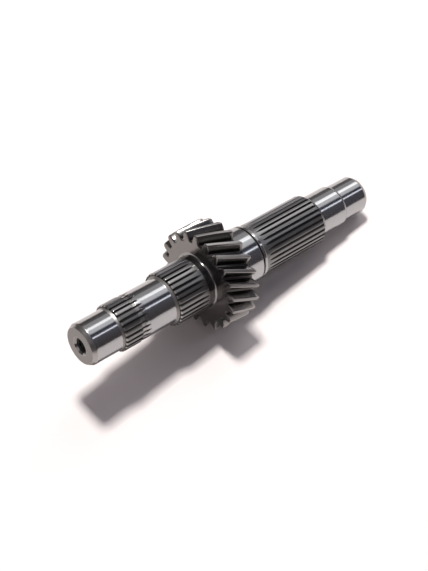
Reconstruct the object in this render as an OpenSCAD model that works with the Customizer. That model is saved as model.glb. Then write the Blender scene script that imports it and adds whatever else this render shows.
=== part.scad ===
// Gearbox countershaft: one steel forging, turned, hobbed, hardened and ground.
// A helical pinion stands between two splined halves that carry ground journals.
// The shaft lies as it comes to rest, on two pinion teeth and the rim of its tail,
// with its tail towards +X. The origin is on the ground below the middle of its box.

/* [Front journal] */
// Diameter of the ground journal at the front end
front_journal_d = 25; // [22:0.1:25.6]
// Length of the front journal, end chamfer included
front_journal_len = 19.5; // [12:0.1:30]
// Length of the chamfer at both ends of the shaft
end_chamfer_len = 2.5; // [0.5:0.1:4]
// Radial depth of the chamfer at both ends of the shaft
end_chamfer_depth = 1.5; // [0.5:0.1:2.5]

/* [End holes] */
// Core diameter of the tapped hole in the front end
tapped_hole_d = 8.5; // [6:0.1:9.5]
// Depth of the tapped hole to the end of its cylinder
tapped_hole_depth = 26; // [16:0.5:40]
// Diameter of the countersink at the mouth of the tapped hole
tapped_mouth_d = 10.8; // [10:0.1:14]
// Pilot diameter of the lathe centre in the tail
centre_pilot_d = 3.2; // [2:0.1:4]
// Diameter of the lathe centre at the face of the tail
centre_mouth_d = 6.8; // [5:0.1:10]
// Depth of the pilot below the lathe centre's cone
centre_pilot_depth = 3; // [1:0.1:8]

/* [Front spline] */
// Number of grooves in the front spline
front_spline_count = 27; // [20:1:32]
// Diameter over the lands of the front spline
front_spline_d = 28.1; // [27.8:0.1:29.5]
// Length from the front journal to the end of the lands
front_spline_len = 13.4; // [9:0.1:24]
// Length of the turned cone that leads up to the front spline
front_lead_len = 1.5; // [0.5:0.1:2.5]
// Depth of the grooves of the front spline
front_groove_depth = 1.05; // [0.8:0.05:1.2]
// Diameter of the turned relief behind the front spline
front_relief_d = 26.9; // [26.3:0.1:27.2]
// Length of the turned relief behind the front spline
front_relief_len = 2.3; // [1:0.1:4]
// Length of the groove run-outs on the middle journal
front_run_out_len = 2.8; // [1.5:0.1:5]
// Radius of the hob that cuts the front spline
front_hob_r = 9; // [6:1:16]

/* [Middle journal] */
// Diameter of the ground journal behind the front spline
middle_journal_d = 27.5; // [26.6:0.1:28]
// Length of the middle journal
middle_journal_len = 21; // [14:0.1:34]

/* [Hub spline] */
// Number of grooves in the hub spline
hub_spline_count = 31; // [22:1:36]
// Diameter over the lands of the hub spline
hub_spline_d = 32.3; // [31:0.1:34]
// Length from the middle journal to the pinion
hub_spline_len = 27; // [20:0.1:36]
// Length of the turned cone that leads up to the hub spline
hub_lead_len = 1.5; // [0.5:0.1:2.5]
// Depth of the grooves of the hub spline
hub_groove_depth = 1.3; // [0.9:0.05:1.5]
// Length of the plain collar left between the groove ends and the pinion
collar_len = 4.8; // [2:0.1:8]

/* [Pinion] */
// Number of helical teeth
pinion_teeth = 21; // [19:1:26]
// Normal module of the teeth
pinion_module = 2.4; // [2.2:0.05:2.7]
// Helix angle at the pitch circle, right-hand
helix_angle = 22.4; // [8:0.1:30]
// Normal pressure angle
pressure_angle = 20; // [16:0.5:22]
// Thickening of the teeth by profile shift, in modules
profile_shift = 0.45; // [0.3:0.01:0.55]
// Height of the teeth above the pitch circle, in modules
tooth_addendum = 1.36; // [1:0.01:1.4]
// Depth of the gaps below the pitch circle, in modules
tooth_dedendum = 0.86; // [0.75:0.01:0.95]
// Radius of the fillet at the foot of the teeth
tooth_fillet = 0.6; // [0.3:0.05:0.8]
// Width of the pinion between its faces
pinion_w = 19.9; // [14:0.1:30]
// Radius of the fillets between the shaft and the faces of the pinion
face_fillet = 1; // [0.4:0.1:2]
// Chamfer along the front edges of the teeth
front_tooth_chamfer = 0.5; // [0.2:0.05:0.7]
// Length of the longer chamfer along the rear edges of the teeth
rear_tooth_chamfer_len = 1.2; // [0.4:0.1:2]
// Depth of the chamfer along the rear edges of the teeth
rear_tooth_chamfer = 0.5; // [0.2:0.05:0.7]

/* [Bearing journal] */
// Diameter of the ground journal behind the pinion
bearing_journal_d = 34.1; // [33:0.1:36]
// Length of the bearing journal
bearing_journal_len = 16.4; // [10:0.1:26]
// Width of the retaining ring groove
ring_groove_w = 1.3; // [0.9:0.1:2.2]
// Depth of the retaining ring groove
ring_groove_depth = 1.1; // [0.6:0.1:1.6]
// Diameter of the stop ring between the ring groove and the long spline
stop_ring_d = 33.5; // [32.6:0.1:34]
// Width of the stop ring
stop_ring_w = 2.5; // [1.4:0.1:4]

/* [Long spline] */
// Number of grooves in the long spline
long_spline_count = 31; // [22:1:36]
// Diameter over the lands of the long spline
long_spline_d = 31.6; // [30.4:0.1:32.2]
// Length of the lands of the long spline
long_spline_len = 46.4; // [30:0.1:60]
// Depth of the grooves of the long spline
long_groove_depth = 1.25; // [0.9:0.05:1.5]
// Length of the cone from the long spline down to the rear journal
spline_taper_len = 3.3; // [2:0.1:5]

/* [Spline grooves] */
// Width of a groove between its lands
groove_w = 1.5; // [1.2:0.05:1.7]
// Lean of each groove wall
groove_wall_angle = 27; // [10:1:30]
// Radius of the hob that cuts the hub spline and the long spline
hob_r = 20; // [15:1:28]
// Chamfer on the leading ends of the lands
land_chamfer = 0.7; // [0.3:0.05:0.8]

/* [Tail] */
// Diameter of the ground journal behind the long spline
rear_journal_d = 25.8; // [24.5:0.1:28]
// Length of the rear journal
rear_journal_len = 17.8; // [10:0.1:28]
// Length of the taper between the rear and tail journals
tail_step_len = 1.7; // [0.5:0.1:3]
// Diameter of the ground journal at the tail
tail_journal_d = 23.4; // [20:0.1:24]
// Length of the tail journal, end chamfer included
tail_journal_len = 19.1; // [12:0.1:30]

/* [Hidden] */
$fn = 96;

// Small steps that part the turned surfaces
land_step = 0.1;
edge_break = 0.3;
ring_back_chamfer = 0.8;
tool_reach = 2;
groove_reach = 1.2;
min_floor_w = 0.1;
fillet_end = 75;
fillet_turn_step = 25;
tapped_mouth_angle = 90;
centre_cone_angle = 60;
drill_point_angle = 118;

// Radii
front_journal_r = front_journal_d / 2;
front_land_r = front_spline_d / 2;
front_relief_r = front_relief_d / 2;
middle_journal_r = middle_journal_d / 2;
hub_land_r = hub_spline_d / 2;
bearing_journal_r = bearing_journal_d / 2;
stop_ring_r = stop_ring_d / 2;
long_land_r = long_spline_d / 2;
rear_journal_r = rear_journal_d / 2;
tail_journal_r = tail_journal_d / 2;

// Stations along the shaft, from the front face
front_spline_z = front_journal_len;
front_relief_z = front_spline_z + front_spline_len;
middle_journal_z = front_relief_z + front_relief_len;
hub_spline_z = middle_journal_z + middle_journal_len;
pinion_z = hub_spline_z + hub_spline_len;
pinion_end_z = pinion_z + pinion_w;
ring_groove_z = pinion_end_z + bearing_journal_len;
stop_ring_z = ring_groove_z + ring_groove_w;
long_spline_z = stop_ring_z + stop_ring_w;
spline_taper_z = long_spline_z + long_spline_len;
rear_journal_z = spline_taper_z + spline_taper_len;
tail_step_z = rear_journal_z + rear_journal_len;
tail_journal_z = tail_step_z + tail_step_len;
tail_z = tail_journal_z + tail_journal_len;

// Length of the run-out that a hob leaves when a groove rises by its depth
function run_out(depth, cutter_r) = sqrt(2 * cutter_r * depth - depth * depth);

// The turned front of a spline: a cone up to its grooves, a step and a chamfer
function spline_front(z, lead_len, land_r, groove_depth) = [
    [land_r - groove_depth - land_step, z + lead_len],
    [land_r - land_chamfer, z + lead_len],
    [land_r, z + lead_len + land_chamfer]
];

// A corner of the fillet that rises from radius r to a pinion face at z, on the given side
function fillet_corner(r, z, side, a) =
    [r + face_fillet * (1 - cos(a)), z + side * face_fillet * (1 - sin(a))];

// Corners of the turned blank, as radius and station, from the front to the tail
blank = concat(
    [
        [front_journal_r - end_chamfer_depth, 0],
        [front_journal_r, end_chamfer_len],
        [front_journal_r, front_spline_z]
    ],
    spline_front(front_spline_z, front_lead_len, front_land_r, front_groove_depth),
    [
        [front_land_r, front_relief_z - front_land_r + front_relief_r],
        [front_relief_r, front_relief_z],
        [front_relief_r, middle_journal_z - edge_break],
        [middle_journal_r, middle_journal_z],
        [middle_journal_r, hub_spline_z]
    ],
    spline_front(hub_spline_z, hub_lead_len, hub_land_r, hub_groove_depth),
    [for (a = [0:fillet_turn_step:fillet_end]) fillet_corner(hub_land_r, pinion_z, -1, a)],
    [
        [hub_land_r + face_fillet, pinion_z + face_fillet],
        [bearing_journal_r + face_fillet, pinion_end_z - face_fillet]
    ],
    [for (a = [fillet_end:-fillet_turn_step:0]) fillet_corner(bearing_journal_r, pinion_end_z, 1, a)],
    [
        [bearing_journal_r, ring_groove_z - edge_break],
        [bearing_journal_r - edge_break, ring_groove_z],
        [bearing_journal_r - ring_groove_depth, ring_groove_z],
        [bearing_journal_r - ring_groove_depth, stop_ring_z],
        [stop_ring_r - edge_break, stop_ring_z],
        [stop_ring_r, stop_ring_z + edge_break],
        [stop_ring_r, long_spline_z - ring_back_chamfer],
        [long_land_r, long_spline_z],
        [long_land_r, spline_taper_z],
        [rear_journal_r, rear_journal_z],
        [rear_journal_r, tail_step_z],
        [tail_journal_r, tail_journal_z],
        [tail_journal_r, tail_z - end_chamfer_len],
        [tail_journal_r - end_chamfer_depth, tail_z]
    ]
);

// Pinion: pitch, base, tip and root circles in the plane of rotation
pitch_r = pinion_module * pinion_teeth / (2 * cos(helix_angle));
tip_r = pitch_r + tooth_addendum * pinion_module;
root_r = pitch_r - tooth_dedendum * pinion_module;
transverse_angle = atan(tan(pressure_angle) / cos(helix_angle));
base_r = pitch_r * cos(transverse_angle);
tooth_pitch = 360 / pinion_teeth;
tooth_rings = 6;
flank_steps = 4;
fillet_steps = 2;

// Angle that an involute has turned by when it reaches radius r
function involute_turn(r) =
    let (t = sqrt(max(0, pow(r / base_r, 2) - 1)))
    t * 180 / PI - atan(t);

// Half the angle that a tooth fills at radius r
pitch_half_angle = (PI / 2 + 2 * profile_shift * tan(pressure_angle)) / pinion_teeth * 180 / PI;
function tooth_half_angle(r) = pitch_half_angle + involute_turn(pitch_r) - involute_turn(r);

// One flank as radius and half angle: the fillet at the foot, then the involute
fillet_top_r = sqrt(pow(root_r + tooth_fillet, 2) - pow(tooth_fillet, 2));
fillet_turn = asin(tooth_fillet / (root_r + tooth_fillet));
function fillet_point(share) =
    let (
        lean = share * (90 - fillet_turn),
        across = tooth_fillet * sin(lean),
        up = root_r + tooth_fillet - tooth_fillet * cos(lean)
    )
    [norm([across, up]), tooth_half_angle(fillet_top_r) + fillet_turn - atan2(across, up)];
flank = concat(
    [for (i = [0:fillet_steps]) fillet_point(i / fillet_steps)],
    [
        for (i = [1:flank_steps])
            let (r = fillet_top_r + (tip_r - fillet_top_r) * i / flank_steps)
            [r, tooth_half_angle(r)]
    ]
);

// A whole tooth from one foot to the other, drawn in by a chamfer's depth
function drawn_in(p, inset) = [p[0] - inset, p[1] - inset / p[0] * 180 / PI];
function tooth(inset) = concat(
    [for (p = flank) let (q = drawn_in(p, inset)) [q[0], -q[1]]],
    [for (i = [len(flank) - 1:-1:0]) drawn_in(flank[i], inset)]
);

// The teeth wind round the shaft, with a gap straight down where the pinion rests
contact_z = pinion_end_z - rear_tooth_chamfer_len;
function tooth_turn(z) = (z - contact_z) * tan(helix_angle) / pitch_r * 180 / PI;
function tooth_ring(z, inset) = [
    for (i = [0:pinion_teeth - 1], p = tooth(inset))
        let (a = (i + 0.5) * tooth_pitch + p[1] + tooth_turn(z))
        [p[0] * cos(a), p[0] * sin(a), z]
];

// Rest: the shaft tips onto its tail until a corner behind the pinion meets the ground
tooth_gap_half_angle = tooth_pitch / 2 - tooth_half_angle(tip_r);
contact_r = tip_r * cos(tooth_gap_half_angle);
tilt = min([for (p = blank) if (p[1] > pinion_end_z) atan2(contact_r - p[0], p[1] - contact_z)]);
lift = contact_z * sin(tilt) + contact_r * cos(tilt);
low_x = min([for (p = blank) p[1] * cos(tilt) - p[0] * sin(tilt)]);
high_x = max([for (p = blank) p[1] * cos(tilt) + p[0] * sin(tilt)]);

// Section of one groove, from its floor outwards, as x outwards from the floor
module groove_section(depth, reach) {
    floor_w = max(groove_w - 2 * depth * tan(groove_wall_angle), min_floor_w);
    mouth_w = floor_w + 2 * reach * tan(groove_wall_angle);
    polygon([[0, -floor_w / 2], [reach, -mouth_w / 2], [reach, mouth_w / 2], [0, floor_w / 2]]);
}

// One groove along +Z, open below and run out above as the hob leaves the cut.
// It is at full depth from z = 0 to len.
module groove(depth, len, cutter_r) {
    reach = depth + groove_reach;
    rise = acos(1 - reach / cutter_r);
    linear_extrude(len)
        groove_section(depth, reach);
    translate([cutter_r, 0, len])
        mirror([1, 0, 0])
            rotate([90, 0, 0])
                rotate_extrude(angle = rise)
                    translate([cutter_r, 0])
                        mirror([1, 0])
                            groove_section(depth, reach);
}

// The grooves of a spline: open at open_z, at full depth as far as full_z
module spline_grooves(count, land_r, depth, cutter_r, open_z, full_z) {
    for (i = [0:count - 1])
        rotate([0, 0, (i + 0.5) * 360 / count])
            translate([land_r - depth, 0, open_z])
                mirror([0, 0, full_z < open_z ? 1 : 0])
                    groove(depth, abs(full_z - open_z), cutter_r);
}

// Tapped hole in the front end: countersink, core and drill point
module tapped_hole() {
    core_r = tapped_hole_d / 2;
    mouth_r = tapped_mouth_d / 2;
    mouth_depth = (mouth_r - core_r) / tan(tapped_mouth_angle / 2);
    rotate_extrude()
        polygon([
            [0, -tool_reach],
            [mouth_r + tool_reach * tan(tapped_mouth_angle / 2), -tool_reach],
            [core_r, mouth_depth],
            [core_r, tapped_hole_depth],
            [0, tapped_hole_depth + core_r / tan(drill_point_angle / 2)]
        ]);
}

// Lathe centre in the tail: cone, pilot and drill point, cut towards +Z
module lathe_centre() {
    pilot_r = centre_pilot_d / 2;
    mouth_r = centre_mouth_d / 2;
    cone_depth = (mouth_r - pilot_r) / tan(centre_cone_angle / 2);
    rotate_extrude()
        polygon([
            [0, -tool_reach],
            [mouth_r + tool_reach * tan(centre_cone_angle / 2), -tool_reach],
            [pilot_r, cone_depth],
            [pilot_r, cone_depth + centre_pilot_depth],
            [0, cone_depth + centre_pilot_depth + pilot_r / tan(drill_point_angle / 2)]
        ]);
}

// The turned, splined and drilled shaft without its pinion
module splined_shaft() {
    front_run_out = run_out(front_groove_depth - front_land_r + middle_journal_r, front_hob_r);
    long_run_out = run_out(long_groove_depth + stop_ring_r - long_land_r + land_step, hob_r);
    difference() {
        rotate_extrude()
            polygon(concat([[0, 0]], blank, [[0, tail_z]]));
        spline_grooves(front_spline_count, front_land_r, front_groove_depth, front_hob_r,
            front_spline_z, middle_journal_z + front_run_out_len - front_run_out);
        spline_grooves(hub_spline_count, hub_land_r, hub_groove_depth, hob_r,
            hub_spline_z, pinion_z - collar_len - run_out(hub_groove_depth, hob_r));
        spline_grooves(long_spline_count, long_land_r, long_groove_depth, hob_r,
            rear_journal_z, long_spline_z - ring_back_chamfer + long_run_out);
        tapped_hole();
        translate([0, 0, tail_z])
            mirror([0, 0, 1])
                lathe_centre();
    }
}

// The helical pinion, chamfered along the edges of its teeth
module pinion() {
    full_z = pinion_z + front_tooth_chamfer;
    rings = concat(
        [tooth_ring(pinion_z, front_tooth_chamfer)],
        [for (i = [0:tooth_rings]) tooth_ring(full_z + (contact_z - full_z) * i / tooth_rings, 0)],
        [tooth_ring(pinion_end_z, rear_tooth_chamfer)]
    );
    count = len(rings[0]);
    last = len(rings) - 1;
    front_centre = count * len(rings);
    points = concat([for (ring = rings) each ring], [[0, 0, pinion_z], [0, 0, pinion_end_z]]);
    sides = [
        for (j = [0:last - 1], i = [0:count - 1])
            let (
                a = j * count + i,
                b = j * count + (i + 1) % count
            )
            each [[a, a + count, b + count], [a, b + count, b]]
    ];
    faces = [
        for (i = [0:count - 1])
            let (next = (i + 1) % count)
            each [[front_centre, i, next], [front_centre + 1, last * count + next, last * count + i]]
    ];
    polyhedron(points, concat(sides, faces));
}

// The whole shaft, laid down on its pinion and tail
module countershaft() {
    color("#8c8886")
        translate([-(low_x + high_x) / 2, 0, lift])
            rotate([0, 90 + tilt, 0]) {
                splined_shaft();
                pinion();
            }
}

countershaft();
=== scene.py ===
"""Looks of the countershaft: one piece of turned, hobbed and ground steel that lies on a white sheet.

The shaft is drawn in its own frame, in millimetres: +Z runs from the front end to the tail, and +X points
down as the shaft lies. It is then laid down where the CAD node lies.
"""

import math

import bpy
import numpy as np
from mathutils import Matrix, Vector


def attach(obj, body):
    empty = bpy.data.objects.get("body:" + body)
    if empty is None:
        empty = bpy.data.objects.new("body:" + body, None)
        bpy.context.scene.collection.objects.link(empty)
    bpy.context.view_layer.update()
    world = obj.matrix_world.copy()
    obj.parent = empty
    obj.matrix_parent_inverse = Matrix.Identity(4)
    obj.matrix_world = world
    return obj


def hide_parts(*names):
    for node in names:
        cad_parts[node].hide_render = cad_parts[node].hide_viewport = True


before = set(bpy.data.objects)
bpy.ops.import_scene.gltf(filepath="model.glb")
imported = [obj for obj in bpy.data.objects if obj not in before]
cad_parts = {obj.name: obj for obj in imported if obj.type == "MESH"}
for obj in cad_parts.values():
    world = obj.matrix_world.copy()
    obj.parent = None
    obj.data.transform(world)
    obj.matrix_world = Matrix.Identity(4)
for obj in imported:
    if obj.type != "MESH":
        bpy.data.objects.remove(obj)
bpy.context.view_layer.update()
scene = bpy.context.scene

# Turned blank: radii and lengths in millimetres, from the front end to the tail
front_r = 12.5
front_len = 19.5
end_chamfer_len = 2.5
end_chamfer_depth = 1.5
front_spline_len = 13.4
relief_r = 13.45
relief_len = 2.3
middle_r = 13.75
middle_len = 21.0
hub_len = 27.0
collar_len = 4.8
pinion_w = 19.9
bearing_r = 17.05
bearing_len = 16.4
ring_groove_w = 1.3
ring_groove_depth = 1.1
stop_ring_r = 16.75
stop_ring_w = 2.5
stop_ring_chamfer = 0.8
long_len = 46.4
taper_len = 3.3
rear_r = 12.9
rear_len = 17.8
tail_step_len = 1.7
tail_r = 11.7
tail_len = 19.1
lead_len = 1.5
land_chamfer = 0.7
land_step = 0.1
edge_break = 0.3
face_fillet = 1.0

# Roundings of the turned edges
step_round = 0.05
groove_round = 0.06
ring_round = 0.08
lead_round = 0.1
relief_round = 0.12
shoulder_round = 0.15
end_round = 0.2
chamfer_round = 0.25

# Grooves of the splines
front_grooves = 27
front_spline_d = 28.1
front_groove_depth = 1.05
hub_grooves = 31
hub_spline_d = 32.3
hub_groove_depth = 1.3
long_grooves = 31
long_spline_d = 31.6
long_groove_depth = 1.25
long_run_out_rise = 2.3
groove_w = 1.5
groove_lean = math.radians(27)
hob_r = 20.0
front_hob_r = 9.0
front_run_out_len = 2.8
land_edge = 0.2
groove_fillet = 0.16
most_of_wall = 0.35
most_of_floor = 0.5

# Pinion
teeth = 21
module = 2.4
helix = math.radians(22.4)
pressure = math.radians(20)
profile_shift = 0.45
addendum = 1.36
dedendum = 0.86
tooth_fillet = 0.6
tooth_edge = 0.2
front_tooth_chamfer = 0.5
rear_tooth_chamfer = 0.5
rear_tooth_chamfer_len = 1.2

# Tapped hole in the front end and lathe centre in the tail
hole_core_r = 4.25
hole_mouth_r = 5.4
hole_depth = 26.0
thread_pitch = 1.5
thread_major_r = 5.0
thread_shown = 10.0
thread_fade = 2.0
centre_mouth_r = 3.4
centre_pilot_r = 1.6
centre_pilot_depth = 3.0
drill_slope = math.tan(math.radians(118 / 2))

# How finely the mesh is drawn: points, rows and steps, and the joints between stretches
half_pitch_points = 9
turned_count = 64
least_groove = 0.01
front_run_out_step = 0.25
run_out_step = 0.6
run_out_margin = 0.2
land_lead = 0.4
neck_step = 0.3
joint_half = 0.5
ring_joint_start, ring_joint_end = 0.3, 0.45
face_inner_w = 0.5
face_outer_w = 1.2
hole_rim_w = 0.4
below_root_w = 0.6
tooth_fillet_points = 5
flank_points = 8
flank_rows = 13
hole_points = 97
thread_rows = 72
thread_mouth_z = 1.2
countersink_rows = 12
countersink_z = 1.1
merge_distance = 0.0005
ring_tolerance = 0.002
sharp_edge = math.radians(34)

# Sheet, panels and camera, in metres, and the photograph in pixels
sheet_half = 6.0
paper_colour = (0.92, 0.86, 0.84, 1)
panel_distance = 4.0
panel_lean = 32
panel_len_share = 0.8
camera_place = (-0.31183, -0.33535, 0.65873)
camera_target = (-0.00139, 0.00882, 0)
camera_roll = math.radians(1.66)
focal_px = 1360
photo_h_px = 571

# Stations along the shaft
front_spline_z = front_len
relief_z = front_spline_z + front_spline_len
middle_z = relief_z + relief_len
hub_z = middle_z + middle_len
pinion_z = hub_z + hub_len
pinion_end_z = pinion_z + pinion_w
ring_groove_z = pinion_end_z + bearing_len
stop_ring_z = ring_groove_z + ring_groove_w
long_z = stop_ring_z + stop_ring_w
taper_z = long_z + long_len
rear_z = taper_z + taper_len
tail_step_z = rear_z + rear_len
tail_z = tail_step_z + tail_step_len
end_z = tail_z + tail_len
centre_pilot_z = end_z - (centre_mouth_r - centre_pilot_r) * math.sqrt(3)
centre_end_z = centre_pilot_z - centre_pilot_depth

# Finishes of the steel
GROUND, TURNED, HOBBED, SHAVED, FACED, RECESS_SHADE, LAND, NECK, DULL = range(9)


def run_out(depth, cutter_r):
    """Length in which a hob leaves the cut as a groove rises by its depth."""
    return math.sqrt(2 * cutter_r * depth - depth * depth)


class Spline:
    """Straight grooves round the shaft, run out on the hob's own radius."""

    def __init__(self, count, diameter, depth, cutter_r, full_z, rises):
        self.count = count
        self.cutter_r = cutter_r
        self.land_r = diameter / 2
        self.floor_r = self.land_r - depth
        self.full_z = full_z
        self.rises = rises
        self.floor_half = groove_w / 2 - depth * math.tan(groove_lean)

    def floor(self, z):
        """Distance of a groove's flat floor from the axis at a station."""
        past = min(max((z - self.full_z) * self.rises, 0), self.cutter_r)
        return self.floor_r + self.cutter_r - math.sqrt(self.cutter_r**2 - past**2)

    def half_groove(self, r, floor):
        """Half a pitch of the outline at surface radius r, from the middle of a land to that of a groove."""
        slope, foot = math.tan(groove_lean), self.floor_half
        lean = np.array((math.cos(groove_lean), math.sin(groove_lean)))
        back = foot - slope * floor
        top_x = (math.sqrt(r**2 * (1 + slope**2) - back**2) - back * slope) / (1 + slope**2)
        top = np.array((top_x, foot + slope * (top_x - floor)))
        bottom = np.array((floor, foot))
        wall = (top_x - floor) / math.cos(groove_lean)
        edge = min(land_edge, most_of_wall * wall)
        fillet = min(groove_fillet, most_of_wall * wall, most_of_floor * foot)
        top_turn = math.atan2(top[1], top[0])
        land_turns = (math.pi / self.count, top_turn + 2 * edge / r, top_turn + edge / r)
        arc = [r * np.array((math.cos(a), math.sin(a))) for a in land_turns]
        wall_top, wall_foot = top - edge * lean, bottom + fillet * lean
        floor_end = bottom - (0, fillet)
        return arc + [
            rounded(arc[-1], top, wall_top),
            wall_top,
            wall_foot,
            rounded(wall_foot, bottom, floor_end),
            floor_end,
            np.array((floor, 0)),
        ]

    def row(self, r, z):
        """One pitch of the surface at a station: a land's half, a groove and the next land's half."""
        floor = self.floor(z)
        if r - floor > least_groove:
            half = np.array(self.half_groove(r, floor))
        else:
            turn = np.linspace(math.pi / self.count, 0, half_pitch_points)
            half = r * np.column_stack((np.cos(turn), np.sin(turn)))
        other = half[-2::-1]
        points = np.vstack((half * (1, -1), other))
        return np.column_stack((points, np.full(len(points), z)))

    def finishes(self, r, z, finish):
        """Finishes across one pitch: a groove has one wall whose edge takes the brighter ground finish, a
        painted highlight on its real rounding, and one wall and edge darkened with painted shade.
        """
        if r - self.floor(z) <= least_groove:
            return [finish] * 2 * (half_pitch_points - 1)
        edge = GROUND if finish == LAND else HOBBED
        return [finish] * 2 + [edge] * 2 + [HOBBED] * 4 + [RECESS_SHADE] * 6 + [finish] * 2


def rounded(a, corner, b):
    """Middle of the rounding that runs from a to b at a corner."""
    return (a + 2 * corner + b) / 4


def softened(corners):
    """Rows of a turned profile: a corner is radius, station, rounding and the finish of what follows it."""
    rows = []
    for i, (r, z, rounding, finish) in enumerate(corners):
        here = np.array((r, z), float)
        if rounding == 0:
            rows.append((r, z, finish))
            continue
        last = corners[i - 1]
        back, on = (np.array(c[:2]) - here for c in (last, corners[i + 1]))
        back, on = back / np.linalg.norm(back), on / np.linalg.norm(on)
        start, stop = here + rounding * back, here + rounding * on
        rows.append((*(start + rounding * back), last[3]))
        rows.append((*start, last[3]))
        rows.append((*rounded(start, here, stop), finish))
        rows.append((*stop, finish))
        rows.append((*(stop + rounding * on), finish))
    return rows


def stretch(r, start, stop, step, finish):
    """Corners along a straight stretch, close enough together to follow what is cut into it."""
    count = math.ceil((stop - start) / step)
    return [(r, z, 0, finish) for z in np.linspace(start, stop, count + 1)]


def fillet(r, z, side, finish):
    """Corners of the fillet from radius r up to a pinion face at z, from the shaft outwards."""
    turns = np.radians((0, 18, 36, 54, 72, 90))
    return [
        (r + face_fillet * (1 - math.cos(a)), z + side * face_fillet * (1 - math.sin(a)), 0, finish)
        for a in turns
    ]


front_run_out_rise = middle_r - front_spline_d / 2 + front_groove_depth
front_full_z = middle_z + front_run_out_len - run_out(front_run_out_rise, front_hob_r)
hub_full_z = pinion_z - collar_len - run_out(hub_groove_depth, hob_r)
long_full_z = long_z - stop_ring_chamfer + run_out(long_run_out_rise, hob_r)

front_spline = Spline(front_grooves, front_spline_d, front_groove_depth, front_hob_r, front_full_z, rises=1)
hub_spline = Spline(hub_grooves, hub_spline_d, hub_groove_depth, hob_r, hub_full_z, rises=1)
long_spline = Spline(long_grooves, long_spline_d, long_groove_depth, hob_r, long_full_z, rises=-1)


def spline_front(spline, z):
    """Corners of the cone, step and chamfer that lead into a spline."""
    return [
        (spline.floor_r - land_step, z + lead_len, 0, HOBBED),
        (spline.land_r - land_chamfer, z + lead_len, lead_round, TURNED),
        (spline.land_r, z + lead_len + land_chamfer, shoulder_round, LAND),
    ]


front_groove_end_z = middle_z + front_run_out_len + run_out_margin

front_corners = [
    (hole_mouth_r + face_outer_w, 0, 0, FACED),
    (front_r - end_chamfer_depth, 0, end_round, TURNED),
    (front_r, end_chamfer_len, chamfer_round, GROUND),
    (front_r, front_spline_z, shoulder_round, DULL),
    *spline_front(front_spline, front_spline_z),
    (front_spline.land_r, relief_z - front_spline.land_r + relief_r, shoulder_round, TURNED),
    (relief_r, relief_z, relief_round, TURNED),
    (relief_r, middle_z - edge_break, step_round, TURNED),
    (middle_r, middle_z, groove_round, GROUND),
    *stretch(middle_r, middle_z + edge_break, front_groove_end_z, front_run_out_step, GROUND),
    (middle_r, middle_z + middle_len / 2 - joint_half, 0, GROUND),
]

hub_corners = [
    (middle_r, middle_z + middle_len / 2 + joint_half, 0, GROUND),
    (middle_r, hub_z, shoulder_round, DULL),
    *spline_front(hub_spline, hub_z),
    *stretch(hub_spline.land_r, hub_full_z, pinion_z - collar_len, run_out_step, LAND),
    (hub_spline.land_r, pinion_z - collar_len + neck_step, 0, NECK),
    *fillet(hub_spline.land_r, pinion_z, -1, NECK),
    (hub_spline.land_r + face_fillet + face_inner_w, pinion_z, 0, FACED),
]

bearing_corners = [
    (bearing_r + face_fillet + face_inner_w, pinion_end_z, 0, FACED),
    *reversed(fillet(bearing_r, pinion_end_z, 1, NECK)),
    (bearing_r, pinion_end_z + face_fillet + neck_step, 0, GROUND),
    (bearing_r, ring_groove_z - edge_break, ring_round, TURNED),
    (bearing_r - edge_break, ring_groove_z, ring_round, RECESS_SHADE),
    (bearing_r - ring_groove_depth, ring_groove_z, groove_round, RECESS_SHADE),
    (bearing_r - ring_groove_depth, stop_ring_z, groove_round, RECESS_SHADE),
    (stop_ring_r - edge_break, stop_ring_z, groove_round, TURNED),
    (stop_ring_r, stop_ring_z + edge_break, ring_round, GROUND),
    (stop_ring_r, stop_ring_z + ring_joint_start * stop_ring_w, 0, GROUND),
]

groove_end_z = taper_z + taper_len * long_groove_depth / (long_spline.land_r - rear_r)

long_corners = [
    (stop_ring_r, stop_ring_z + ring_joint_end * stop_ring_w, 0, GROUND),
    (stop_ring_r, long_z - stop_ring_chamfer, relief_round, TURNED),
    (long_spline.land_r, long_z, lead_round, LAND),
    *stretch(long_spline.land_r, long_z + land_lead, long_full_z, run_out_step, LAND),
    (long_spline.land_r, taper_z, shoulder_round, TURNED),
    (long_spline.floor_r + 2 * least_groove, groove_end_z, 0, TURNED),
    (rear_r, rear_z, relief_round, GROUND),
    (rear_r, rear_z + rear_len / 2 - joint_half, 0, GROUND),
]

tail_corners = [
    (rear_r, rear_z + rear_len / 2 + joint_half, 0, GROUND),
    (rear_r, tail_step_z, shoulder_round, TURNED),
    (tail_r, tail_z, shoulder_round, GROUND),
    (tail_r, end_z - end_chamfer_len, chamfer_round, NECK),
    (tail_r - end_chamfer_depth, end_z, end_round, FACED),
    (centre_mouth_r, end_z, lead_round, TURNED),
    (centre_pilot_r, centre_pilot_z, lead_round, RECESS_SHADE),
    (centre_pilot_r, centre_end_z, lead_round, RECESS_SHADE),
    (0, centre_end_z - centre_pilot_r / drill_slope, 0, RECESS_SHADE),
]

# Pinion circles in the plane of rotation
pitch_r = module * teeth / (2 * math.cos(helix))
tip_r = pitch_r + addendum * module
root_r = pitch_r - dedendum * module
base_r = pitch_r * math.cos(math.atan(math.tan(pressure) / math.cos(helix)))
tooth_pitch = 2 * math.pi / teeth
contact_z = pinion_end_z - rear_tooth_chamfer_len


def involute(r):
    """Angle that the involute has turned by at radius r."""
    t = math.sqrt(max(0, (r / base_r) ** 2 - 1))
    return t - math.atan(t)


def tooth_half_angle(r):
    """Half the angle that a tooth fills at radius r."""
    at_pitch = (math.pi / 2 + 2 * profile_shift * math.tan(pressure)) / teeth
    return at_pitch + involute(pitch_r) - involute(r)


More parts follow.
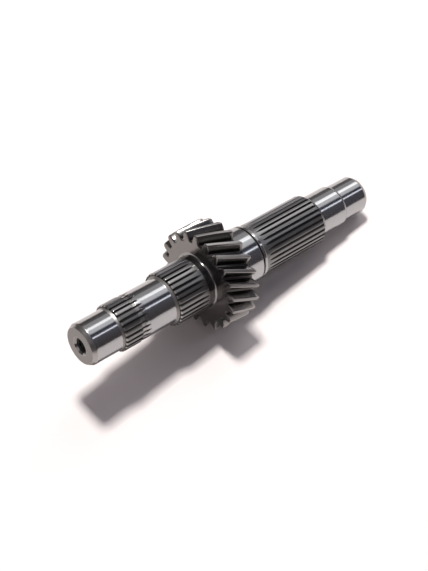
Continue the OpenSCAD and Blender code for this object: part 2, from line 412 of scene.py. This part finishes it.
def half_tooth():
    """Half a tooth as radius and angle from its middle: gap, root fillet, involute, tip edge and tip."""
    fillet_top = math.sqrt((root_r + tooth_fillet) ** 2 - tooth_fillet**2)
    fillet_turn = math.asin(tooth_fillet / (root_r + tooth_fillet))
    foot = tooth_half_angle(fillet_top) + fillet_turn
    points = [(root_r, tooth_pitch / 2), (root_r, (tooth_pitch / 2 + foot) / 2)]
    for share in np.linspace(0, 1, tooth_fillet_points):
        lean = share * (math.pi / 2 - fillet_turn)
        across = tooth_fillet * math.sin(lean)
        up = root_r + tooth_fillet * (1 - math.cos(lean))
        points.append((math.hypot(across, up), foot - math.atan2(across, up)))
    for r in np.linspace(fillet_top, tip_r - tooth_edge, flank_points)[1:]:
        points.append((r, tooth_half_angle(r)))
    edge_turn = tooth_half_angle(tip_r)
    points.append((tip_r - tooth_edge / 4, edge_turn - tooth_edge / 4 / tip_r))
    points.append((tip_r, edge_turn - tooth_edge / tip_r))
    return points + [(tip_r, edge_turn - 2 * tooth_edge / tip_r), (tip_r, 0)]


def tooth_turn(z):
    """Angle that the teeth have wound round the shaft by at a station."""
    return (z - contact_z) * math.tan(helix) / pitch_r


def tooth_row(z, inset):
    """One tooth's outline at a station, drawn in by a chamfer's depth."""
    half = [(r - inset, a if a == tooth_pitch / 2 else max(a - inset / r, 0)) for r, a in half_tooth()]
    whole = [(r, -a) for r, a in half] + half[-2::-1]
    return np.array([(r * math.cos(a + tooth_turn(z)), r * math.sin(a + tooth_turn(z)), z) for r, a in whole])


def tooth_face_row(r, z):
    """A circle on a face of the pinion, with the points of the tooth above it."""
    turns = np.linspace(-tooth_pitch / 2, tooth_pitch / 2, 2 * len(half_tooth()) - 1) + tooth_turn(z)
    return np.column_stack((r * np.cos(turns), r * np.sin(turns), np.full(len(turns), z)))


def flank_finishes():
    """Finishes across one tooth: gap, flank, tip edge in the brighter turned finish as a painted highlight on
    its rounding, tip, and the same back again.
    """
    half = [SHAVED] * (len(half_tooth()) - 5) + [TURNED] * 2 + [DULL] * 2
    return half + half[::-1]


def pinion_rows():
    """Rows of one tooth from the front face's inner circle, along the flanks, to that of the rear face."""
    below_root = root_r - front_tooth_chamfer - below_root_w
    flank_z = np.linspace(pinion_z + front_tooth_chamfer, contact_z, flank_rows)
    rows = [
        (tooth_face_row(hub_spline.land_r + face_fillet + face_outer_w, pinion_z), FACED),
        (tooth_face_row(below_root, pinion_z), FACED),
        (tooth_row(pinion_z, front_tooth_chamfer), SHAVED),
    ]
    rows += [(tooth_row(z, 0), flank_finishes()) for z in flank_z]
    return rows + [
        (tooth_row(pinion_end_z, rear_tooth_chamfer), FACED),
        (tooth_face_row(below_root, pinion_end_z), FACED),
        (tooth_face_row(bearing_r + face_fillet + face_outer_w, pinion_end_z), FACED),
    ]


def thread_r(turns, z):
    """Radius of the tapped hole's wall: the thread, which fades out with depth, and the countersink."""
    phase = np.mod(z / thread_pitch - turns / (2 * math.pi), 1) - 0.5
    wall = thread_major_r - math.sqrt(3) * np.maximum(np.abs(phase) * thread_pitch - thread_pitch / 16, 0)
    depth = np.clip(wall - hole_core_r, 0, None) * min(max((thread_shown - z) / thread_fade, 0), 1)
    return np.maximum(hole_core_r + depth, hole_mouth_r - z)


def hole_rows():
    """Rows of the tapped hole from its drill point to the end face."""
    turns = np.linspace(-math.pi, math.pi, hole_points)

    def row(radii, z):
        return np.column_stack((radii * np.cos(turns), radii * np.sin(turns), np.full(len(turns), z)))

    thread_z = np.linspace(thread_shown, thread_mouth_z, thread_rows)
    mouth_z = np.linspace(countersink_z, 0.0, countersink_rows)
    drill_tip_z = hole_depth + hole_core_r / drill_slope
    deep = [(0, drill_tip_z), (hole_core_r, hole_depth), (hole_core_r, thread_shown + 1)]
    rows = [(row(np.full(len(turns), r), z), RECESS_SHADE) for r, z in deep]
    rows += [(row(thread_r(turns, z), z), RECESS_SHADE) for z in thread_z]
    rows += [(row(thread_r(turns, z), z), NECK) for z in mouth_z]
    return rows + [(row(np.full(len(turns), hole_mouth_r + hole_rim_w), 0), FACED)]


def spline_rows(spline, corners):
    """Rows of one pitch of a stretch of the shaft that holds a spline."""
    return [(spline.row(r, z), spline.finishes(r, z, finish)) for r, z, finish in softened(corners)]


def turned_rows(corners):
    """Rows of one pitch of a plain stretch of the shaft."""
    turns = np.array((-1, 0, 1)) * math.pi / turned_count
    return [
        (np.column_stack((r * np.cos(turns), r * np.sin(turns), np.full(len(turns), z))), finish)
        for r, z, finish in softened(corners)
    ]


def sector(name, rows):
    """Mesh of one pitch: rows of equally many points, each with the finishes of the strip after it."""
    columns = len(rows[0][0])
    points = np.vstack([row for row, _ in rows])
    faces, finishes = [], []
    for i, (_, strip_finishes) in enumerate(rows[:-1]):
        here, there = i * columns, (i + 1) * columns
        faces += [(here + j, here + j + 1, there + j + 1, there + j) for j in range(columns - 1)]
        finishes += np.broadcast_to(strip_finishes, columns - 1).tolist()
    mesh = bpy.data.meshes.new(name)
    mesh.from_pydata(points.tolist(), [], faces)
    mesh.attributes.new("finish", "INT", "FACE").data.foreach_set("value", finishes)
    return mesh


class Socket:
    """An output of a node, which can be reckoned with: each sum adds a Math node to its tree."""

    def __init__(self, tree, socket=None):
        self.tree = tree
        self.socket = socket

    def node(self, kind, inputs, output=0, **settings):
        """A new node with its settings and inputs, which are values or outputs; gives one of its outputs."""
        made = self.tree.nodes.new(kind)
        for name, value in settings.items():
            if name == "stops":
                set_stops(made.color_ramp.elements, value)
            else:
                setattr(made, name, value)
        for key, value in inputs.items():
            if isinstance(value, Socket):
                self.tree.links.new(value.socket, made.inputs[key])
            else:
                made.inputs[key].default_value = value
        return Socket(self.tree, made.outputs[output]) if made.outputs else None

    def sum(self, operation, *values):
        """The result of a Math node."""
        return self.node("ShaderNodeMath", dict(enumerate(values)), operation=operation)

    def __add__(self, other):
        return self.sum("ADD", self, other)

    def __sub__(self, other):
        return self.sum("SUBTRACT", self, other)

    def __rsub__(self, other):
        return self.sum("SUBTRACT", other, self)

    def __mul__(self, other):
        return self.sum("MULTIPLY", self, other)

    def __truediv__(self, other):
        return self.sum("DIVIDE", self, other)

    def __rtruediv__(self, other):
        return self.sum("DIVIDE", other, self)

    def __pow__(self, other):
        return self.sum("POWER", self, other)

    __radd__ = __add__
    __rmul__ = __mul__


def set_stops(elements, stops):
    """Puts a ramp's colours in place."""
    while len(elements) < len(stops):
        elements.new(0.5)
    for element, (place, colour) in zip(elements, stops):
        element.position = place
        element.color = colour


def new_material(name):
    material = bpy.data.materials.new(name)
    material.use_nodes = True
    material.node_tree.nodes.clear()
    return material, Socket(material.node_tree)


def shaft_place(start):
    """Where a point lies on the shaft, in millimetres: the point, its radius and its station."""
    place = start.node("ShaderNodeAttribute", {}, "Vector", attribute_name="shaft_place")
    x, y, z = (start.node("ShaderNodeSeparateXYZ", {0: place}, axis) for axis in "XYZ")
    return place, (x * x + y * y) ** 0.5, z


def between(start, value, low, high):
    """How far a value has gone from low to high, from 0 to 1."""
    return start.node("ShaderNodeMapRange", {0: value, 1: low, 2: high}, interpolation_type="SMOOTHSTEP")


def noise(start, vector, scale, detail):
    return start.node("ShaderNodeTexNoise", {"Vector": vector, "Scale": scale, "Detail": detail}, "Fac")


def scaled(start, vector, factors):
    return start.node("ShaderNodeVectorMath", {0: vector, 1: factors}, operation="MULTIPLY")


def mixed(start, share, low, high):
    return start.node("ShaderNodeMix", {0: share, 6: low, 7: high}, 2, data_type="RGBA")


def grey(value, warmth=0.0):
    """A grey of that strength, warmer or cooler than neutral."""
    return (value * (1 + warmth), value, value * (1 - warmth), 1)


def finished(material, start, colour, roughness, normal=None):
    """Ends a material in steel of that colour and roughness."""
    inputs = {"Base Color": colour, "Metallic": 1.0, "Roughness": roughness}
    if normal:
        inputs["Normal"] = normal
    steel = start.node("ShaderNodeBsdfPrincipled", inputs)
    start.node("ShaderNodeOutputMaterial", {"Surface": steel})
    return material


def ground_steel():
    """Bearing seats: bright, with fine grinding marks round the shaft."""
    material, start = new_material("ground_steel")
    place, _, _ = shaft_place(start)
    marks = noise(start, scaled(start, place, (0.08, 0.08, 4.0)), 1.0, 4.0)
    colour = mixed(start, marks, grey(0.36, -0.01), grey(0.42, -0.01))
    return finished(material, start, colour, 0.11 + marks * 0.06)


def turned_steel():
    """Chamfers, steps and the relief: lathe marks spread the light along the shaft."""
    material, start = new_material("turned_steel")
    _, r, z = shaft_place(start)
    rings = noise(start, start.node("ShaderNodeCombineXYZ", {0: r, 1: z}), 5.0, 2.0)
    bump = start.node("ShaderNodeBump", {"Strength": 0.25, "Distance": 0.00004, "Height": rings})
    colour = mixed(start, rings, grey(0.31, 0.02), grey(0.37, 0.02))
    return finished(material, start, colour, 0.24 + rings * 0.1, bump)


def hobbed_steel():
    """Wall of each spline groove: pale steel at its top, with painted shade that darkens it towards the
    floor.
    """
    material, start = new_material("hobbed_steel")
    _, r, z = shaft_place(start)
    on_hub = between(start, z, hub_z - 1, hub_z)
    on_long = between(start, z, long_z - 3, long_z - 2)
    hub_rise, long_rise = hub_spline.land_r - front_spline.land_r, long_spline.land_r - hub_spline.land_r
    depth = front_spline.land_r + on_hub * hub_rise + on_long * long_rise - r
    # Painted shade: pale steel at the land's edge, near black from 0.6 mm deep in the groove.
    colour = mixed(start, between(start, depth, 0.05, 0.6), grey(0.28, 0.01), grey(0.03, 0.03))
    return finished(material, start, colour, 0.28)


def land_steel():
    """Lands of the splines, with fine scratches along the shaft."""
    material, start = new_material("land_steel")
    place, _, _ = shaft_place(start)
    scratches = noise(start, scaled(start, place, (5.0, 5.0, 0.12)), 1.0, 3.0)
    return finished(material, start, grey(0.21, 0.01), 0.28 + scratches * 0.08)


def neck_steel():
    """Collar, fillets, countersink and tail chamfer: smooth and darker than the bearing seats."""
    material, start = new_material("neck_steel")
    _, r, z = shaft_place(start)
    rings = noise(start, start.node("ShaderNodeCombineXYZ", {0: r, 1: z}), 4.0, 2.0)
    colour = mixed(start, rings, grey(0.22, 0.02), grey(0.28, 0.02))
    return finished(material, start, colour, 0.13 + rings * 0.05)


def shaved_steel():
    """Tooth flanks: fine marks along the tooth, with painted shade that darkens them towards the root."""
    material, start = new_material("shaved_steel")
    place, r, _ = shaft_place(start)
    marks = noise(start, scaled(start, place, (1.5, 1.5, 0.3)), 1.0, 3.0)
    up = between(start, r, root_r, tip_r)
    # Painted shade: near black at the root of the tooth gaps, paler towards the tips.
    colour = mixed(start, up, grey(0.06, 0.04), grey(0.22, 0.03))
    return finished(material, start, colour, 0.20 + marks * 0.10)


def faced_steel():
    """Faces across the shaft, with faint rings."""
    material, start = new_material("faced_steel")
    _, r, z = shaft_place(start)
    rings = noise(start, start.node("ShaderNodeCombineXYZ", {0: r, 1: z}), 3.0, 3.0)
    colour = mixed(start, rings, grey(0.16, 0.05), grey(0.185, 0.05))
    return finished(material, start, colour, 0.16 + rings * 0.06)


def recess_shade_steel():
    """Holes, ring groove and one wall of each spline groove: rough steel with painted shade that makes these
    recesses dark.
    """
    material, start = new_material("recess_shade_steel")
    _, _, z = shaft_place(start)
    # Painted shade: paler just inside the front end's hole, darkest from 8 mm deep on, and dark in every
    # groove.
    colour = mixed(start, between(start, z, 0, 8), grey(0.2, 0.04), grey(0.05, 0.04))
    return finished(material, start, colour, 0.45)


def dull_steel():
    """Tips of the teeth and lead cones, which are only turned: duller than the seats."""
    material, start = new_material("dull_steel")
    place, _, _ = shaft_place(start)
    marks = noise(start, scaled(start, place, (0.3, 0.3, 2.0)), 1.0, 3.0)
    colour = mixed(start, marks, grey(0.22, 0.03), grey(0.28, 0.03))
    return finished(material, start, colour, 0.40 + marks * 0.08)


finish_materials = [
    ground_steel(),
    turned_steel(),
    hobbed_steel(),
    shaved_steel(),
    faced_steel(),
    recess_shade_steel(),
    land_steel(),
    neck_steel(),
    dull_steel(),
]


def repeat_tree():
    """Node group that repeats one pitch round the shaft's axis and gives each strip its finish."""
    tree = bpy.data.node_groups.new("repeat_round_shaft", "GeometryNodeTree")
    tree.interface.new_socket("Pitch", in_out="INPUT", socket_type="NodeSocketGeometry")
    count_input = tree.interface.new_socket("Count", in_out="INPUT", socket_type="NodeSocketInt")
    tree.interface.new_socket("Shaft", in_out="OUTPUT", socket_type="NodeSocketGeometry")
    start = Socket(tree)
    given = tree.nodes.new("NodeGroupInput")
    pitch, count = (Socket(tree, given.outputs[name]) for name in ("Pitch", "Count"))
    index = start.node("GeometryNodeInputIndex", {})
    turn = (index + 0.5) * (2 * math.pi) / count
    points = start.node("GeometryNodePoints", {"Count": count})
    rotation = start.node("ShaderNodeCombineXYZ", {"Z": turn})
    copies = {"Points": points, "Instance": pitch, "Rotation": rotation}
    placed = start.node("GeometryNodeInstanceOnPoints", copies)
    shaft = start.node("GeometryNodeRealizeInstances", {"Geometry": placed})
    shaft = start.node("GeometryNodeMergeByDistance", {"Geometry": shaft, "Distance": merge_distance})
    finish = start.node("GeometryNodeInputNamedAttribute", {"Name": "finish"}, "Attribute", data_type="INT")
    for number, material in enumerate(finish_materials):
        chosen = start.node("FunctionNodeCompare", {2: finish, 3: number}, data_type="INT", operation="EQUAL")
        coated = {"Geometry": shaft, "Selection": chosen, "Material": material}
        shaft = start.node("GeometryNodeSetMaterial", coated)
    start.node("NodeGroupOutput", {"Shaft": shaft})
    return tree, count_input.identifier


round_shaft, count_socket = repeat_tree()


def repeated(name, rows, count):
    """A stretch of the shaft as points, faces and finishes, from the rows of one pitch."""
    holder = bpy.data.objects.new(name, sector(name, rows))
    scene.collection.objects.link(holder)
    modifier = holder.modifiers.new("repeat", "NODES")
    modifier.node_group = round_shaft
    modifier[count_socket] = count
    evaluated = holder.evaluated_get(bpy.context.evaluated_depsgraph_get())
    mesh = bpy.data.meshes.new_from_object(evaluated)
    points = np.array([v.co for v in mesh.vertices])
    faces = [tuple(p.vertices) for p in mesh.polygons]
    finishes = [finish_materials.index(mesh.materials[p.material_index]) for p in mesh.polygons]
    bpy.data.objects.remove(holder)
    return points, faces, finishes


def ring_of(points, row):
    """Vertices of a stretch that lie on the circle of one of its end rows, in turning order."""
    r, z = math.hypot(row[0][0], row[0][1]), row[0][2]
    off_r, off_z = abs(np.hypot(points[:, 0], points[:, 1]) - r), abs(points[:, 2] - z)
    on_ring = (off_r < ring_tolerance) & (off_z < ring_tolerance)
    turns = np.arctan2(points[:, 1], points[:, 0])
    ring = np.flatnonzero(on_ring)
    return [(turns[i], i) for i in ring[np.argsort(turns[ring])]]


def bridged(near, far):
    """Triangles that join two circles with their own numbers of points."""
    near = near + [(near[0][0] + 2 * math.pi, near[0][1])]
    far = far + [(far[0][0] + 2 * math.pi, far[0][1])]
    faces, i, j = [], 0, 0
    while i < len(near) - 1 or j < len(far) - 1:
        if j == len(far) - 1 or (i < len(near) - 1 and near[i + 1][0] < far[j + 1][0]):
            faces.append((near[i][1], near[i + 1][1], far[j][1]))
            i += 1
        else:
            faces.append((near[i][1], far[j + 1][1], far[j][1]))
            j += 1
    return faces


def shaft_mesh():
    """The whole shaft, closed, in its own frame."""
    stretches = [
        (hole_rows(), 1),
        (spline_rows(front_spline, front_corners), front_spline.count),
        (spline_rows(hub_spline, hub_corners), hub_spline.count),
        (pinion_rows(), teeth),
        (turned_rows(bearing_corners), turned_count),
        (spline_rows(long_spline, long_corners), long_spline.count),
        (turned_rows(tail_corners), turned_count),
    ]
    points, faces, finishes, last_ring = np.empty((0, 3)), [], [], None
    for rows, count in stretches:
        new_points, new_faces, new_finishes = repeated("pitch", rows, count)
        first = len(points)
        faces += [tuple(first + v for v in face) for face in new_faces]
        finishes += new_finishes
        if last_ring:
            ring = [(turn, first + v) for turn, v in ring_of(new_points, rows[0][0])]
            joint = bridged(last_ring, ring)
            faces += joint
            finishes += [last_finish] * len(joint)
        points = np.vstack((points, new_points))
        last_ring = [(turn, first + v) for turn, v in ring_of(new_points, rows[-1][0])]
        last_finish = np.ravel(rows[-1][1]).tolist()[0]
    mesh = bpy.data.meshes.new("countershaft_steel")
    mesh.from_pydata(points.tolist(), [], faces)
    for material in finish_materials:
        mesh.materials.append(material)
    mesh.polygons.foreach_set("material_index", finishes)
    mesh.attributes.new("shaft_place", "FLOAT_VECTOR", "POINT").data.foreach_set("vector", points.ravel())
    return mesh


def laid_down():
    """Place of the shaft on the ground, in metres: it rests on two teeth and the rim of its tail."""
    contact_r = tip_r * math.cos(tooth_pitch / 2 - tooth_half_angle(tip_r))
    tilt = math.atan2(contact_r - tail_r, end_z - end_chamfer_len - contact_z)
    low_x = -(front_r - end_chamfer_depth) * math.sin(tilt)
    high_x = end_z * math.cos(tilt) + (tail_r - end_chamfer_depth) * math.sin(tilt)
    lift = contact_z * math.sin(tilt) + contact_r * math.cos(tilt)
    to_metres = Matrix.Diagonal((0.001, 0.001, 0.001, 1))
    place = Matrix.Translation((-(low_x + high_x) / 2, 0, lift))
    return to_metres @ place @ Matrix.Rotation(math.pi / 2 + tilt, 4, "Y")


def countershaft():
    """The shaft as one visible piece in place of its CAD node."""
    mesh = shaft_mesh()
    mesh.transform(laid_down())
    mesh.shade_smooth()
    mesh.set_sharp_from_angle(angle=sharp_edge)
    shaft = bpy.data.objects.new("countershaft_steel", mesh)
    scene.collection.objects.link(shaft)
    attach(shaft, "root")
    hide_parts("countershaft")


def white_sheet():
    """Sheet under the shaft, wide enough to fill the picture."""
    corners = [(x * sheet_half, y * sheet_half, 0) for x, y in ((-1, -1), (1, -1), (1, 1), (-1, 1))]
    mesh = bpy.data.meshes.new("white_sheet")
    mesh.from_pydata(corners, [], [(0, 1, 2, 3)])
    material, start = new_material("white_sheet")
    paper = start.node("ShaderNodeBsdfDiffuse", {"Color": paper_colour})
    start.node("ShaderNodeOutputMaterial", {"Surface": paper})
    mesh.materials.append(material)
    sheet = bpy.data.objects.new("white_sheet", mesh)
    scene.collection.objects.link(sheet)


def lamp(name, towards, across, distance, size, watts, colour):
    """Rectangular lamp that faces the shaft from a direction, with its first side along another."""
    data = bpy.data.lights.new(name, "AREA")
    data.shape = "RECTANGLE"
    data.size, data.size_y = size
    data.energy = watts
    data.color = colour
    back = Vector(towards).normalized()
    side = (Vector(across) - back * back.dot(Vector(across))).normalized()
    light = bpy.data.objects.new(name, data)
    turn = Matrix((side, back.cross(side), back)).transposed().to_4x4()
    light.matrix_world = Matrix.Translation(back * distance) @ turn
    scene.collection.objects.link(light)


def round_shaft_axis(turn, lean):
    """Direction turned round the shaft from straight up, away from the camera, and leaning to the tail."""
    turn, lean = math.radians(turn), math.radians(lean)
    axis, up = (laid_down().to_3x3() @ Vector(v).normalized() for v in ((0, 0, 1), (-1, 0, 0)))
    round_it = up.normalized() * math.cos(turn) + Vector((0, 1, 0)) * math.sin(turn)
    return axis.normalized() * math.sin(lean) + round_it * math.cos(lean)


def panel(name, low, high, radiance, colour):
    """Long soft panel beyond the tail, mirrored as a band along the shaft; low and high are in degrees."""
    turn, width = (low + high) / 2, math.radians(high - low)
    size = (2 * panel_distance * math.tan(width / 2), panel_len_share * panel_distance)
    towards = round_shaft_axis(turn, panel_lean)
    across = round_shaft_axis(turn + 1, panel_lean) - towards
    watts = radiance * math.pi * size[0] * size[1]
    lamp(name, towards, across, panel_distance, size, watts, colour)


def studio():
    """A lamp overhead that throws the shadow, soft panels beyond the tail and a dim room."""
    lamp(
        "overhead",
        towards=(0.102, 0.272, 1.0),
        across=(1, 0, 0),
        distance=2.6,
        size=(0.40, 0.40),
        watts=65.5,
        colour=(1.0, 0.99, 0.98),
    )
    lamp(
        "front_fill",
        towards=(-0.75, -0.10, 0.65),
        across=(0, 1, 0),
        distance=2.0,
        size=(1.6, 1.0),
        watts=3.4,
        colour=(1.0, 0.90, 0.86),
    )
    panel("bright_panel", low=16, high=28, radiance=2.1, colour=(1.0, 0.99, 0.99))
    panel("side_panel", low=-5, high=16, radiance=0.95, colour=(0.98, 0.98, 1.0))
    panel("dim_panel", low=28, high=52, radiance=0.36, colour=(1.0, 0.98, 0.98))
    panel("strip", low=-30, high=-25, radiance=2.3, colour=(0.90, 0.92, 1.0))
    world = bpy.data.worlds.new("dim_room")
    world.use_nodes = True
    world.node_tree.nodes.clear()
    start = Socket(world.node_tree)
    direction = start.node("ShaderNodeTexCoord", {}, "Generated")
    behind = start.node("ShaderNodeSeparateXYZ", {0: direction}, "Y")
    walls = [
        (0.04, (0.085, 0.070, 0.070, 1)),
        (0.19, (0.130, 0.125, 0.145, 1)),
        (0.38, (0.052, 0.050, 0.080, 1)),
        (0.86, (0.200, 0.190, 0.195, 1)),
        (0.93, (0.130, 0.115, 0.115, 1)),
    ]
    colour = start.node("ShaderNodeValToRGB", {0: behind * 0.5 + 0.5}, stops=walls)
    room = start.node("ShaderNodeBackground", {"Color": colour, "Strength": 1.0})
    start.node("ShaderNodeOutputWorld", {"Surface": room})
    scene.world = world


def camera():
    """Camera where the photograph was taken from: its sensor's width lies along the picture's height."""
    place, target = Vector(camera_place), Vector(camera_target)
    data = bpy.data.cameras.new("photo_camera")
    data.lens = data.sensor_width * focal_px / photo_h_px
    eye = bpy.data.objects.new("photo_camera", data)
    turn = (target - place).to_track_quat("-Z", "Y").to_matrix().to_4x4()
    eye.matrix_world = Matrix.Translation(place) @ turn @ Matrix.Rotation(camera_roll, 4, "Z")
    scene.collection.objects.link(eye)
    scene.camera = eye


countershaft()
white_sheet()
studio()
camera()
scene.view_settings.view_transform = "Standard"
